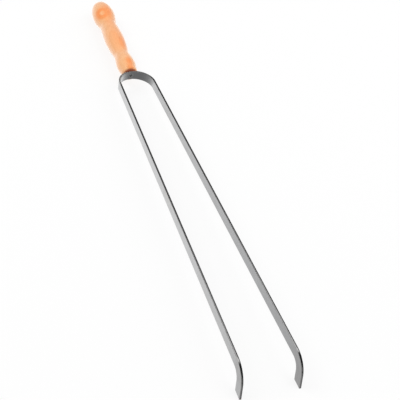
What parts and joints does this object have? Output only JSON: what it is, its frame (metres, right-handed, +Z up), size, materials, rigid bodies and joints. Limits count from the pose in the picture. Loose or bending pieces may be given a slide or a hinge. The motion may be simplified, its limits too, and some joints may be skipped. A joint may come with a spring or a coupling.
{
  "type": "two-armed spring tongs",
  "caption": "Long flat-steel spring tongs: a bow with two spreading arms that end in down-turned hooks, and a turned wooden handle screwed to the outside of the bow.",
  "frame": {"origin": "middle of the tool's footprint, on the surface it lies on", "axes": "+Y along the tool from the hooks to the handle, +Z up, across the arms' plane (the tool lies on its hook ends and knob, so the arms' plane tilts 0.95 degrees about X), +X from the left arm to the right arm"},
  "size_m": [0.0576, 0.575, 0.0269],
  "materials": {
    "handle_wood": "clear-lacquered light beech, satin",
    "strip_steel": "cold-rolled flat bar with fine lengthwise mill lines, bare and lightly oiled",
    "screw_steel": "plain steel wood screw, dull"
  },
  "bodies": {
    "root": {"handle": "handle_wood", "handle_screw": "screw_steel", "bow": "strip_steel"},
    "left_arm": {"left_arm": "strip_steel"},
    "right_arm": {"right_arm": "strip_steel"}
  },
  "joints": [
    {"name": "left_arm_flex", "type": "hinge", "parent": "root", "child": "left_arm", "pos_m": [-0.02, 0.11965, 0.01555], "axis": [0, 0.0166, 0.9999], "range_deg": [-2, 3.7], "stiffness_Nm_per_rad": 8},
    {"name": "right_arm_flex", "type": "hinge", "parent": "root", "child": "right_arm", "pos_m": [0.02, 0.11965, 0.01555], "axis": [0, -0.0166, -0.9999], "range_deg": [-2, 3.7], "stiffness_Nm_per_rad": 8}
  ]
}
